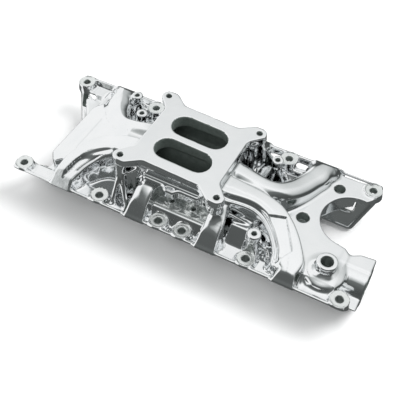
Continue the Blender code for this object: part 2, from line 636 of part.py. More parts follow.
def make_shield(web_low):
    low = web_low - 3.2
    outline = box_outline(0, 0, 150, 84, 8)
    screws = [(sx * 62, sy * 34) for sx in (-1, 1) for sy in (-1, 1)]
    holes = [circle(x, y, 2.6, 10) for x, y in screws]
    plate("oil_shield", [outline, *holes], low - 1.2, low, material=STEEL)
    for number, (x, y) in enumerate(screws, 1):
        head_low, head_top = low - 3.2, low - 1.2 - GAP
        name = f"shield_screw_{number}"
        head = drum(name, 4.0, head_low, head_top, (x, y), steps=12, top_radius=4.5, material=STEEL)
        join(head, drum(name + "_shank", 2.2, head_top - 0.5, web_low - GAP, (x, y), steps=12, cutter="tools"))


def main():
    make_runners()
    for bank in SIDE:
        make_flange(bank)
    make_pad_and_plenum()
    trims = [flange_trim(bank) for bank in SIDE]
    make_front(trims)
    make_accessory_bosses(trims)
    make_right_side()
    make_valley(trims)


main()
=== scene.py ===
"""Polished intake manifold: the casting as a smooth skin over its named sections, on a pale floor.

Every section is a distance field on one lattice. The fields are melted together, so that
neighbours meet in cast fillets, then bored and faced. The skin is pulled out once and shared among
the sections, which makes each piece closed and leaves no step where two meet. Numbers are
millimetres in the engine frame, as in the CAD: x forward from midway between the banks, y to the
engine's left, z up from the bolt seats.
"""

import math

import bpy
import numpy as np
from mathutils import Matrix, Vector
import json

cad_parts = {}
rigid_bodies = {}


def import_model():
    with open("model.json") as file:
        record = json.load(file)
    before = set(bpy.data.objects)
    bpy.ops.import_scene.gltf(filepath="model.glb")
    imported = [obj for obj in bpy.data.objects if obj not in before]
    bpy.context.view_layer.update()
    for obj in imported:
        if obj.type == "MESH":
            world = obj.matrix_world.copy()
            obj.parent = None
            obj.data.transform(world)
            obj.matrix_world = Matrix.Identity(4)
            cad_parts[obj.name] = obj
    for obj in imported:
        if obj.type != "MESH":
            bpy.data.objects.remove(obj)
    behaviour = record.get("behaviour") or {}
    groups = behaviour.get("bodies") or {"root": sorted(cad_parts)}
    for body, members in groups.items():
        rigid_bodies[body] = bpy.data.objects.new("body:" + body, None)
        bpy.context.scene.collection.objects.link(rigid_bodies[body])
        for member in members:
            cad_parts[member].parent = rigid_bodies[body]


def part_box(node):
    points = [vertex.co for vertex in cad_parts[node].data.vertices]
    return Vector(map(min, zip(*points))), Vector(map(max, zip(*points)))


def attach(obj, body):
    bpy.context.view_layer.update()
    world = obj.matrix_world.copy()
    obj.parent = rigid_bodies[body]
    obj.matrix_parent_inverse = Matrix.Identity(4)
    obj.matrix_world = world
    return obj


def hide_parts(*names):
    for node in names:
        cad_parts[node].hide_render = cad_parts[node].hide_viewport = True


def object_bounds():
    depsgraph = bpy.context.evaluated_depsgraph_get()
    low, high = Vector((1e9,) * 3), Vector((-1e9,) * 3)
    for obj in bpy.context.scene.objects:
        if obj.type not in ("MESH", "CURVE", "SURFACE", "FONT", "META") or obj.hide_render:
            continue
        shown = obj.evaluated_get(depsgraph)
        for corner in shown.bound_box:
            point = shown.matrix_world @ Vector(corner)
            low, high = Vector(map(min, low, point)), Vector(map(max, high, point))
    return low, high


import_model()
CAD_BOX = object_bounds()

MM = 0.001
VOXEL = 1.25
MARGIN = 12.0  # how far beyond its box a section's field is worked out
FILLET = 7.0  # how far melting reaches
HOLLOW_MARGIN, FINISH_REACH = 4, 0.6  # the same for a cut, and how far its finish reaches

SIDE = {"right": -1, "left": 1}
BOLTS = {bank: range(1, 7) for bank in SIDE}


# ----------------------------------------------------------------------------------------------
# Places taken from the CAD.
def cad_box(node):
    return [Vector(corner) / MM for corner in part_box(node)]


def cad_centre(node):
    low, high = cad_box(node)
    return (low + high) / 2


MIDDLE_SEATS = [f"{bank}_bolt_boss_{n}" for bank in SIDE for n in (3, 4)]
ORIGIN = Vector((sum(cad_centre(n).x for n in MIDDLE_SEATS) / 4, 0, cad_box(MIDDLE_SEATS[0])[1].z))


def centre(node):
    """A CAD node's centre in the engine frame."""
    return cad_centre(node) - ORIGIN


SEATS = {bank: [centre(f"{bank}_bolt_boss_{n}") for n in BOLTS[bank]] for bank in SIDE}
BANK_X = {bank: (SEATS[bank][2].x + SEATS[bank][3].x) / 2 for bank in SIDE}
PORT_GAP = SEATS["right"][4].x - BANK_X["right"]  # bore spacing
FLANGE_Y = -cad_box("right_head_flange")[0].y
FOOT = cad_box("right_head_flange")[0].z - ORIGIN.z
LOWEST = -50  # low enough to be below every runner's metal

# Carburettor pad and the plenum under it.
PAD_TILT = math.radians(2.81)
STUD_X, STUD_Y = 71.45, 65.5
PAD = Vector((centre("carburettor_flange").x + 0.3, 0, 61.0))  # its tilt puts the box 0.3 behind the top
PAD_HALF_X, PAD_HALF_Y, PAD_THICK = 64, 60, 12
TAB = 10  # how far a stud tab reaches past its hole
SLOT_HALF, SLOT_R, SLOT_Y = 23.0, 18.0, 24.0
PLENUM_HALF_Y, PLENUM_FLOOR = 60.5, -12


# ----------------------------------------------------------------------------------------------
# The lattice.
LOW, HIGH = CAD_BOX
LOW = np.array(LOW) / MM - np.array(ORIGIN) - 4 * VOXEL
HIGH = np.array(HIGH) / MM - np.array(ORIGIN) + 4 * VOXEL
COUNT = np.ceil((HIGH - LOW) / VOXEL).astype(int) + 1
AXES = [(LOW[i] + VOXEL * np.arange(COUNT[i])).astype(np.float32) for i in range(3)]
SOLID = np.full(COUNT, 50.0, np.float32)
NEAREST = np.full(COUNT, 50.0, np.float32)
LABEL = np.zeros(COUNT, np.uint8)
FINISH = np.zeros(COUNT, np.uint8)
POLISHED, FACED, RAW, BORED = range(4)
PIECES = []  # the sections' names, in the order of their labels
# The CAD nodes that a section stands for, where they aren't the one of its own name.
CAD_NODES = {f"runner_{n}": [f"runner_{n}", f"runner_{n}_elbow"] for n in (1, 4, 5, 8)}
PLENUM_PARTS = ("floor", "front_wall", "rear_wall", "left_wall", "right_wall", "divider")
CAD_NODES["plenum_body"] = [f"plenum_{part}" for part in PLENUM_PARTS]


def window(low, high, margin):
    """The part of the lattice round a box: its slices and its x, y and z."""
    slices = []
    for i in range(3):
        a = int(max(0, math.floor((low[i] - margin - LOW[i]) / VOXEL)))
        b = int(min(COUNT[i], math.ceil((high[i] + margin - LOW[i]) / VOXEL) + 1))
        slices.append(slice(a, max(a + 1, b)))
    x, y, z = (AXES[i][slices[i]] for i in range(3))
    return tuple(slices), x[:, None, None], y[None, :, None], z[None, None, :]


def melt(a, b, reach):
    """A union with a fillet."""
    h = np.maximum(reach - np.abs(a - b), 0) / reach
    return np.minimum(a, b) - h * h * reach / 4


def carve(a, b, edge):
    """Takes b away from a, with a broken edge."""
    h = np.maximum(edge - np.abs(a + b), 0) / edge
    return np.maximum(a, -b) + h * h * edge / 4


def section(node, low, high, shape, reach=FILLET):
    """Adds one section of the casting."""
    PIECES.append(node)
    merge(node, low, high, shape, reach)


def merge(node, low, high, shape, reach=FILLET):
    """Adds more metal to a section made before."""
    number = PIECES.index(node) + 1
    part, x, y, z = window(low, high, MARGIN)
    field = shape(x, y, z).astype(np.float32)
    near = field < NEAREST[part]
    NEAREST[part] = np.where(near, field, NEAREST[part])
    LABEL[part] = np.where(near, number, LABEL[part])
    SOLID[part] = melt(SOLID[part], field, reach)


def hollow(low, high, shape, finish=None, edge=1.6):
    """Takes a shape away, and gives the walls it leaves a finish."""
    part, x, y, z = window(low, high, HOLLOW_MARGIN)
    field = shape(x, y, z).astype(np.float32)
    SOLID[part] = carve(SOLID[part], field, edge)
    if finish is not None:
        FINISH[part] = np.where(field < FINISH_REACH, finish, FINISH[part])


def paint(low, high, shape, finish):
    """Marks a region whose surface has another finish."""
    part, x, y, z = window(low, high, 0)
    FINISH[part] = np.where(shape(x, y, z) < 0, finish, FINISH[part])


# ----------------------------------------------------------------------------------------------
# Shapes. Each takes the lattice's x, y and z and returns distances.
def cap(a, b, radius):
    """An intersection with a rounded edge."""
    corner = np.hypot(np.maximum(a + radius, 0), np.maximum(b + radius, 0))
    return np.minimum(np.maximum(a, b), -radius) + corner


def slab(z, low, high):
    """The layer between two heights, or the same along another axis."""
    return np.maximum(low - z, z - high)


def lathe(x, y, z, at, profile, radius=1.5):
    """A turned shape from (radius, height) pairs, heights falling."""
    rs, zs = [p[0] for p in profile][::-1], [p[1] for p in profile][::-1]
    rho = np.hypot(x - at[0], y - at[1])
    wall = (rho - np.interp(z, zs, rs)) * 0.95
    return cap(wall, slab(z, zs[0], zs[-1]), radius)


def bar(x, y, z, a, b, ra, rb=None):
    """A round bar between two points."""
    a, b = Vector(a), Vector(b)
    rb = ra if rb is None else rb
    d = b - a
    t = ((x - a.x) * d.x + (y - a.y) * d.y + (z - a.z) * d.z) / d.length_squared
    t = np.clip(t, 0, 1)
    away = np.sqrt((x - a.x - d.x * t) ** 2 + (y - a.y - d.y * t) ** 2 + (z - a.z - d.z * t) ** 2)
    return away - (ra + (rb - ra) * t)


def web(x, y, z, a, b, half, top, low):
    """An upright rib from a to b in plan, whose top falls from top[0] to top[1]."""
    a, b = Vector(a[:2]), Vector(b[:2])
    d = b - a
    t = np.clip(((x - a.x) * d.x + (y - a.y) * d.y) / d.length_squared, 0, 1)
    away = np.hypot(x - a.x - d.x * t, y - a.y - d.y * t) - half
    return cap(away, np.maximum(low - z, z - (top[0] + (top[1] - top[0]) * t)), 1.2)


def outline_distance(x, y, outline):
    """Signed distance in plan to a closed outline."""
    best = np.full(np.broadcast_shapes(x.shape, y.shape), 1e9, np.float32)
    inside = np.zeros(best.shape, bool)
    count = len(outline)
    for i in range(count):
        ax, ay = outline[i]
        bx, by = outline[(i + 1) % count]
        ex, ey = bx - ax, by - ay
        t = np.clip(((x - ax) * ex + (y - ay) * ey) / (ex * ex + ey * ey + 1e-9), 0, 1)
        best = np.minimum(best, np.hypot(x - ax - ex * t, y - ay - ey * t))
        if by != ay:
            crosses = (ay > y) != (by > y)
            inside ^= crosses & (x < ex * (y - ay) / ey + ax)
    return np.where(inside, -best, best)


def prism(x, y, z, outline, low, high, radius=2.0):
    """An outline in plan, drawn up from low to high."""
    return cap(outline_distance(x, y, outline), np.maximum(low - z, z - high), radius)


def rounded(corners, steps=5):
    """An outline whose corners (x, y, radius) are arcs."""
    outline = []
    count = len(corners)
    for i, (x, y, radius) in enumerate(corners):
        here = Vector((x, y))
        if radius == 0:
            outline.append((x, y))
            continue
        before = (Vector(corners[i - 1][:2]) - here).normalized()
        after = (Vector(corners[(i + 1) % count][:2]) - here).normalized()
        half = before.angle(after) / 2
        reach = radius / math.tan(half)
        middle = here + (before + after).normalized() * (radius / math.sin(half))
        start, end = here + before * reach - middle, here + after * reach - middle
        sweep = start.angle_signed(end)
        for k in range(steps + 1):
            outline.append(tuple(middle + Matrix.Rotation(-sweep * k / steps, 2) @ start))
    return outline


def arc(x, y, radius, start, end, steps):
    angles = [math.radians(start + (end - start) * k / steps) for k in range(steps + 1)]
    return [(x + radius * math.cos(a), y + radius * math.sin(a)) for a in angles]


def smooth_path(stations, spans=8):
    """Catmull-Rom through the stations."""
    values = [np.array(s, float) for s in stations]
    ends = [2 * values[0] - values[1], *values, 2 * values[-1] - values[-2]]
    made = []
    for i in range(len(values) - 1):
        a, b, c, d = ends[i:i + 4]
        for k in range(spans):
            f = k / spans
            made.append(0.5 * (2 * b + (c - a) * f + (2 * a - 5 * b + 4 * c - d) * f * f
                               + (3 * b - a - 3 * c + d) * f ** 3))
    made.append(values[-1])
    return made


def sweep(x, y, stations):
    """Nearest place on a path in plan: distance from it, side, and the stations' other values there."""
    path = smooth_path(stations)
    shape = np.broadcast_shapes(x.shape, y.shape)
    best = np.full(shape, 1e9, np.float32)
    side = np.zeros(shape, np.float32)
    values = [np.zeros(shape, np.float32) for _ in path[0][2:]]
    for a, b in zip(path, path[1:]):
        ex, ey = b[0] - a[0], b[1] - a[1]
        t = np.clip(((x - a[0]) * ex + (y - a[1]) * ey) / (ex * ex + ey * ey), 0, 1)
        dx, dy = x - a[0] - ex * t, y - a[1] - ey * t
        away = np.hypot(dx, dy)
        near = away < best
        best = np.where(near, away, best)
        side = np.where(near, ex * dy - ey * dx, side)
        for k, value in enumerate(values):
            values[k] = np.where(near, a[2 + k] + (b[2 + k] - a[2 + k]) * t, value)
    return best, np.sign(side), values


def ends(stations):
    """The corners of a path's box, from half-widths and heights."""
    xs, ys, halves, tops = ([s[k] for s in stations] for k in range(4))
    wide = max(halves)
    return (min(xs) - wide, min(ys) - wide, LOWEST), (max(xs) + wide, max(ys) + wide, max(tops))


def inside_mating_face(field, y, z, radius=1.0):
    """Cuts a field off at both 45 degree mating faces."""
    beyond = (np.abs(y) - FLANGE_Y - z) * math.sqrt(0.5)
    return cap(field, beyond, radius)


# ----------------------------------------------------------------------------------------------
# Carburettor flange, plenum and stud columns.
def pad_level(x, z):
    """Height above the tilted pad."""
    return math.sin(PAD_TILT) * (x - PAD.x) + math.cos(PAD_TILT) * (z - PAD.z)


def pad_outline():
    """A rectangle with a round tab for a stud at each corner."""
    out_x, out_y = STUD_X + TAB, STUD_Y + TAB
    quarter = [(PAD_HALF_X, PAD_HALF_Y - 18, 12), (out_x, STUD_Y - 4, 4), (out_x, out_y, 9.5),
               (STUD_X - TAB, out_y, 9.5), (PAD_HALF_X - 22, PAD_HALF_Y, 10)]
    corners = quarter + [(-x, y, r) for x, y, r in reversed(quarter)]
    corners += [(-x, -y, r) for x, y, r in quarter] + [(x, -y, r) for x, y, r in reversed(quarter)]
    return [(PAD.x + x, y) for x, y in rounded(corners)]


def pad_shape(x, y, z):
    level = pad_level(x, z)
    return cap(outline_distance(x, y, pad_outline()), np.maximum(level, -PAD_THICK - level), 1.3)


def studs():
    """The stud holes, front left first, then round to the front right."""
    return [(PAD.x + sx * STUD_X, sy * STUD_Y) for sx, sy in ((1, 1), (-1, 1), (-1, -1), (1, -1))]


def plenum_shape(x, y, z):
    across = slab(x, PAD.x - PAD_HALF_X, PAD.x + PAD_HALF_X)
    heights = np.maximum(PLENUM_FLOOR - z, pad_level(x, z) + PAD_THICK / 2)
    return cap(cap(across, np.abs(y) - PLENUM_HALF_Y, 6), heights, 2)


# Where the stud columns' outer ribs come down, by the column's side along and across the engine.
COLUMN_FEET = {(1, 1): [(84, 84), (58, 86)], (-1, 1): [(-100, 80), (-74, 86)],
               (1, -1): [(53, -90), (81, -89)], (-1, -1): [(-83, -92), (-60, -90)]}


def make_plenum():
    low, high = (PAD.x - PAD_HALF_X, -61, PLENUM_FLOOR), (PAD.x + PAD_HALF_X, 61, 62)
    section("plenum_body", low, high, plenum_shape, 5)
    section("carburettor_flange", (PAD.x - 84, -78, 40), (PAD.x + 84, 78, 66), pad_shape, 3)
    names = ("front_left", "rear_left", "rear_right", "front_right")
    for name, (sx, sy) in zip(names, studs()):
        out_x, out_y = math.copysign(1.0, sx - PAD.x), math.copysign(1.0, sy)
        foot = (sx + 1.5 * out_x, sy + 5 * out_y)

        def column(x, y, z, sx=sx, sy=sy, foot=foot, out_x=out_x):
            post = bar(x, y, z, (sx, sy, 46), (*foot, -2), 7.6, 8.6)
            ribs = [web(x, y, z, foot, (foot[0] - 4 * out_x, foot[1] * 0.72), 3.2, (50, 50), -8),
                    web(x, y, z, foot, (foot[0] - 22 * out_x, foot[1] * 0.85), 2.6, (26, 44), -8)]
            for reach in COLUMN_FEET[out_x, out_y]:
                ribs.append(web(x, y, z, (sx, sy), reach, 1.9, (46, -4), -12))
                ribs.append(bar(x, y, z, (*foot, 30), (*reach, -7), 2.6, 3.4))
            for rib in ribs:
                post = melt(post, rib, 3)
            return np.maximum(post, pad_level(x, z) + 5)

        section(f"{name}_stud_column", (sx - 28, sy - 28, -12), (sx + 28, sy + 28, 60), column, 5)


# ----------------------------------------------------------------------------------------------
# Runners, from the plenum to the head. Each has its bank, its port's place in bore spacings, the
# radius of its top edges, and its stations: x, y, half-width, top and floor.
def port_x(bank, spacings):
    """Where a port stands along the engine."""
    return BANK_X[bank] + spacings * PORT_GAP


RUNNERS = {
    "runner_1": ("right", 1.5, 4.0, [
        (40, -30, 20, 43, -12), (66, -30, 19, 43, -12), (84, -29, 17, 42, -12), (100, -28, 16, 40, -13),
        (114, -29, 16, 37, -15), (128, -33, 17, 34, -18), (141, -41, 17.5, 30, -22),
        (153, -52, 18, 25.5, -26), (165, -67, 18.5, 20, -32), (173, -83, 19, 16, -38)]),
    "runner_2": ("right", 0.5, 3.0, [
        (52, -40, 13, 34, -12), (62, -58, 12, 33, -12), (67, -75, 12, 27, -22)]),
    "runner_3": ("right", -0.5, 4.0, [
        (-41, -40, 14, 34, -12), (-40, -60, 13, 32, -12), (-39.5, -76, 12.5, 28, -22)]),
    "runner_4": ("right", -1.5, 4.0, [
        (-50, -30, 20, 44, -12), (-82, -29, 19, 44, -12), (-103, -30, 18, 41, -13),
        (-120, -35, 17.5, 38, -16), (-134, -45, 17.5, 34, -20), (-144, -58, 17.5, 30, -26),
        (-152, -75, 16.5, 25, -32)]),
    "runner_5": ("left", 1.5, 11.0, [
        (60, 8, 16, 41, -12), (88, 3, 15, 40, -12), (106, 4, 15, 37, -13), (120, 10, 15, 34, -16),
        (131, 22, 15, 30, -20), (140, 38, 15.5, 26, -26), (148, 58, 16, 23, -32), (154, 76, 17, 21, -38)]),
    "runner_6": ("left", 0.5, 5.0, [
        (33, 40, 16, 34, -12), (34, 60, 17, 33, -14), (41, 78, 18, 26, -24)]),
    "runner_7": ("left", -0.5, 5.0, [
        (-54, 40, 16, 34, -12), (-55, 60, 17, 33, -14), (-62, 78, 18, 26, -24)]),
    "runner_8": ("left", -1.5, 14.0, [
        (-60, 22, 18, 42, -12), (-90, 17, 16, 41, -12), (-116, 14, 15.5, 38, -14), (-134, 20, 16, 35, -17),
        (-149, 34, 17, 31, -22), (-160, 50, 18, 27, -28), (-168, 68, 18.5, 23, -34)]),
}
# The ends: two more stations at these distances from the middle plane, the second past the mating
# face. Their tops slope down at 45 degrees to the flange's top edge.
END_Y, PAST_Y, END_FLOOR, END_SLOPE = 96, 118, -42, 110.0
END_TOP = {"runner_1": 13}
END_HALF = {"runner_1": 11.0, "runner_4": 14.0}  # half-widths of the ends' tops
END_X = {"runner_2": 67.0, "runner_3": -39.5}  # ends that aren't straight above their ports
DRAFT, CROWN = 0.06, 1.4  # how much the walls lean, and how much the top is domed
FLARE = {"runner_1": 0.2, "runner_2": 0.08, "runner_3": 0.08, "runner_4": 0.12}  # more lean at the end
SHELVED = {"runner_1": (-1, 0.0), "runner_4": (1, 9.0)}  # side of the path with a shelf, and its growth
SHELF, SHELF_DROP = 7.5, 5.5
GROOVE_IN, GROOVE_R = 4.6, 2.1  # the groove along a shelf, in from its edge
CLEAR = 9  # a distance large enough to switch one shape off inside another
PANEL = [(127, -40), (147, -31), (172, -68), (163, -84)]  # the sunk blank panel on runner 1's slope
PANEL_DEPTH = 3.2


def ease(value, start, end):
    """A smooth step from 0 to 1."""
    t = np.clip((value - start) / (end - start), 0, 1)
    return t * t * (3 - 2 * t)


def make_runner(name, bank, spacings, radius, stations):
    """One runner: a leaning, domed bar along its stations; two have a shelf and a groove beside it."""
    side = SIDE[bank]
    at, half_end = END_X.get(name, port_x(bank, spacings)), END_HALF.get(name, 12.0)
    end_top = END_TOP.get(name, 18)
    stations = stations + [(at, side * END_Y, half_end, end_top, END_FLOOR),
                           (at, side * PAST_Y, half_end, end_top - 2, END_FLOOR)]

    def shape(x, y, z):
        away, turn, (half, top, low) = sweep(x, y, stations)
        lean = DRAFT + FLARE.get(name, 0.5) * ease(side * y, 74, 92)
        crown = CROWN * np.clip(away / half, 0, 1) ** 2
        wide = half + lean * np.maximum(top - z, 0)
        if name in SHELVED:
            shelf_side, growth = SHELVED[name]
            near = turn * shelf_side > 0
            fade = 1 - ease(side * y, 84, 98) if growth == 0 else 1
            inset = np.where(near, (SHELF + growth * ease(side * y, 34, 66)) * fade, 0)
            plateau = cap((away - wide + inset) * 0.98, np.maximum(z - top + crown, low - z), radius)
            level = top - np.where(near, SHELF_DROP, 0) - 0.5
            shelf = cap((away - wide) * 0.98, np.maximum(z - level, low - z), 2.0)
            groove = np.hypot(away - wide + GROOVE_IN, z - level - 0.4) - GROOVE_R
            groove = np.where(near, groove + CLEAR * ease(side * y, 84, 92), CLEAR)
            field = carve(melt(plateau, shelf, 2.5), groove, 1.2)
        else:
            field = cap((away - wide) * 0.98, np.maximum(z - top + crown, low - z), radius)
        if name == "runner_1":
            sunk = np.maximum(outline_distance(x, y, PANEL), top - PANEL_DEPTH - z)
            field = carve(field, sunk, 1.2)
        slope = (side * y + z - END_SLOPE) * math.sqrt(0.5)
        return inside_mating_face(cap(field, slope, 1.5), y, z)

    section(name, *ends(stations), shape)


def make_runners():
    for name, facts in RUNNERS.items():
        make_runner(name, *facts)


# ----------------------------------------------------------------------------------------------
# Head flanges and bolt bosses.
FLANGE_THICK, LEDGE_Z, LEDGE_Y, LIP_Y = 14.0, -8.0, 81.5, 101.0
TOE = 7  # how far the flange's lower edge steps in and up
HALF_LENGTH = 250.5  # at the flange's outer edge
CHAMFER_START, CHAMFER_RATE = 17, 22.0 / 39  # the ends slope in from here, by this much
BOSS_PROFILE = [(12.6, 2), (13.2, -4), (14.5, -12)]


def make_flange(bank):
    """A bar along the bank: its section across the engine, with a ledge and a lip, and sloping ends."""
    side = SIDE[bank]
    across = rounded([(FLANGE_Y, 0, 1.2), (FLANGE_Y + FOOT, FOOT, 0.8),
                      (FLANGE_Y + FOOT - TOE, FOOT + TOE, 3),
                      (LEDGE_Y, LEDGE_Y + FLANGE_THICK - FLANGE_Y, 4), (LEDGE_Y, LEDGE_Z, 2),
                      (LIP_Y, LEDGE_Z, 2.5), (LIP_Y + 3, 0, 2)], 3)

    def shape(x, y, z):
        flat = outline_distance(side * y, z, across)
        along = np.abs(x - BANK_X[bank]) - HALF_LENGTH
        inward = np.maximum(side * -y + FLANGE_Y - CHAMFER_START, 0)
        return cap(flat, along + inward * CHAMFER_RATE, 5)

    low = (BANK_X[bank] - HALF_LENGTH, min(side * 110, side * 48), FOOT)
    high = (BANK_X[bank] + HALF_LENGTH, max(side * 110, side * 48), 0)
    section(f"{bank}_head_flange", low, high, shape, 5)


def make_bosses(bank):
    for number, seat in zip(BOLTS[bank], SEATS[bank]):
        def boss(x, y, z, seat=seat):
            return inside_mating_face(lathe(x, y, z, seat, BOSS_PROFILE, 1.0), y, z)

        low, high = (seat.x - 15, seat.y - 15, -12), (seat.x + 15, seat.y + 15, 2)
        section(f"{bank}_bolt_boss_{number}", low, high, boss, 4)


# ----------------------------------------------------------------------------------------------
# Front: coolant crossover, notch, thermostat neck, heater boss.
NOTCH, NOTCH_R = (222, 27), 43.0
ARM_X, ARM_THICK, CROSSOVER_THICK = 212, 9.0, 27.0
NECK_JOINT_X, NECK_JOINT_Y = 204, -28.0  # where the neck takes over from the crossover
BROW_X, BROW_Y = 184, 81  # ahead of here, and outside here, the deck slopes down to the right flange
NECK_X, NECK_FRONT, NECK_R, NECK_LOW, NECK_Y = 228, 270.5, 25, -46, -101
MOUTH_Y, MOUTH_Z, MOUTH_R = -44, -27, 17.5
HEATER_AT = (217, -63)
HEATER_PROFILE = [(13.8, 20), (13.7, 13), (11.6, 9.5), (12.2, 6), (18, 2), (26, -1), (28, -7)]


def crossover_shape(x, y, z):
    notch = arc(*NOTCH, NOTCH_R, 82, 262, 30)
    corners = [(228, -18), (236, -28), (236, -103), (190, -100), (160, -60), (132, -10), (146, 40),
               (160, 100), (229, 101), (236, 96), (237, 80)]
    plan = outline_distance(x, y, corners + notch)
    underside = np.where((x > ARM_X) & (y > 40), -ARM_THICK, -CROSSOVER_THICK)
    brow = np.where(x > BROW_X, (z + (-y - BROW_Y) * 0.85) * 0.76, -CLEAR)
    return cap(plan, np.maximum(underside - z, np.maximum(z, brow)), 1.5)


def neck_shape(x, y, z):
    """A barrel along the engine, a crest on its inner side, and the block and skirt down to the flange."""
    barrel = cap(np.hypot(y - MOUTH_Y, z - MOUTH_Z) - NECK_R, slab(x, NECK_X, NECK_FRONT), 1.5)
    crest = rounded([(NECK_X, -20, 0), (238, -24, 6), (250, -17, 8), (NECK_FRONT, -15, 2),
                     (NECK_FRONT, -40, 0), (NECK_X, -40, 0)])
    crest = prism(x, y, z, crest, -44, -0.8, 2.5)
    block = [(NECK_JOINT_X, -40), (238, -40), (238, NECK_Y), (NECK_JOINT_X, NECK_Y)]
    block = prism(x, y, z, block, NECK_LOW, -9.5, 2)
    skirt = rounded([(234, -40, 0), (NECK_FRONT, -40, 0), (NECK_FRONT, NECK_Y, 3), (234, NECK_Y, 0)])
    skirt = prism(x, y, z, skirt, NECK_LOW, -21, 2)
    return melt(melt(barrel, crest, 3), melt(block, skirt, 4), 3)


def trimmed(shape):
    """Keeps a shape behind both mating faces."""
    def kept(x, y, z):
        return inside_mating_face(shape(x, y, z), y, z)
    return kept


def make_front():
    section("coolant_crossover", (130, -106, -27), (240, 106, 0), trimmed(crossover_shape), 5)
    section("thermostat_neck", (200, -104, NECK_LOW), (NECK_FRONT, -14, 0), trimmed(neck_shape), 5)

    def heater(x, y, z):
        return lathe(x, y, z, HEATER_AT, HEATER_PROFILE, 1.2)

    section("heater_hose_boss", (190, -90, -6), (244, -36, 20), heater, 5)


# ----------------------------------------------------------------------------------------------
# Accessory bosses: the place, the top, the floor and the feet of the ribs that hold each.
ACCESSORY = {
    "coil_bracket_boss": ((121.5, -75), 31, -14, [(104, -62), (140, -66), (116, -87), (132, -87)]),
    "throttle_bracket_boss": ((93.5, 66), 20, -30, [(78, 60), (84, 84), (108, 78), (112, 60), (92, 46)]),
    "rear_bracket_boss_outer": ((-150, 88), 19, -12, [(-166, 88), (-134, 88), (-150, 70)]),
    "rear_bracket_boss_inner": ((-123.5, 57.5), 19, -30, [(-142, 56), (-106, 60), (-124, 78), (-124, 40)]),
}
BOSS_R, COIL_EXTRA = 8.4, 0.8  # the coil bracket's boss is wider
BOSS_REACH = 24  # how far the ribs go


def make_accessory_bosses():
    for name, (at, top, low, feet) in ACCESSORY.items():
        def boss(x, y, z, name=name, at=at, top=top, low=low, feet=feet):
            head = BOSS_R + (COIL_EXTRA if name == "coil_bracket_boss" else 0)
            profile = [(head, top), (head, top - 9), (head - 1.4, top - 14), (12, low)]
            field = lathe(x, y, z, at, profile, 1.2)
            for foot in feet:
                field = melt(field, web(x, y, z, at, foot, 2.2, (top - 8, low + 6), low), 3)
            return field

        low_corner = (at[0] - BOSS_REACH, at[1] - BOSS_REACH, low)
        high_corner = (at[0] + BOSS_REACH, at[1] + BOSS_REACH, top)
        section(name, low_corner, high_corner, trimmed(boss), 5)


# ----------------------------------------------------------------------------------------------
# Right side of the plenum: vacuum rail, choke heat pad and its tube bosses.
CHOKE = {"choke_tube_boss_rear": (-1, -67), "choke_tube_boss_front": (30.5, -66)}
CHOKE_X, CHOKE_TOP, CHOKE_TIP = (-30, 58), 8, 16  # the pad's ends, and the tops of the pad and its bosses
RAIL_LOW, RAIL_TOP, RAIL_Y, RAIL_HALF = 26, 41, -62.5, 5.6
BULGE_X, BULGE_Y, BULGE_R, PAN_R = -4, -69, 5.5, 2.4  # the rail's bulge and the pan sunk in it


def make_right_side():
    """The rail under the pad's right edge, and the choke's heat pad with its skirt and bosses."""
    def rail(x, y, z):
        plan = np.hypot(np.maximum(np.abs(x - PAD.x - 4) - 38, 0), y - RAIL_Y) - RAIL_HALF
        bulge = np.hypot(np.maximum(np.abs(x - BULGE_X) - 4, 0), y - BULGE_Y) - BULGE_R
        return cap(melt(plan, bulge, 6), slab(z, RAIL_LOW, RAIL_TOP), 2.2)

    section("vacuum_rail", (PAD.x - 46, -78, RAIL_LOW), (PAD.x + 50, -56, RAIL_TOP), rail, 3)

    def pad(x, y, z):
        return cap(cap(slab(x, *CHOKE_X), slab(y, -76, -58), 3), slab(z, -12, CHOKE_TOP), 1.6)

    def skirt(x, y, z):
        slope = (z - LEDGE_Z + (-y - 90) * 1.3) * 0.6  # from the ledge up to the pad
        return cap(slab(x, -34, 60), np.maximum(slope, slab(z, -14, 6)), 1.5)

    section("choke_heat_pad", (CHOKE_X[0], -80, -12), (CHOKE_X[1], -58, CHOKE_TOP), pad, 3)
    merge("choke_heat_pad", (-34, -94, -14), (60, -58, 6), skirt, 2)
    for name, (at_x, at_y) in CHOKE.items():
        def boss(x, y, z, at_x=at_x, at_y=at_y):
            post = lathe(x, y, z, (at_x, at_y), [(6.4, CHOKE_TIP), (7.0, 6)], 1)
            ear = (np.hypot((x - at_x) * 0.5, y - at_y) - 6.8) * 0.9
            return melt(post, cap(ear, slab(z, 6, 12), 1.2), 1.5)

        section(name, (at_x - 16, at_y - 9, 4), (at_x + 16, at_y + 9, CHOKE_TIP), boss, 2)


# ----------------------------------------------------------------------------------------------
# Rear deck, pockets beside the runners, end rails, valley web and heat crossover.
REAR_X, DECK_FLOOR = -206, -31
POCKET_FLOOR, POCKET_LOW = -13, -40  # the pockets' floors, and how far the metal below them goes
RAIL_Z = -37  # the undersides of the rails that sit on the block


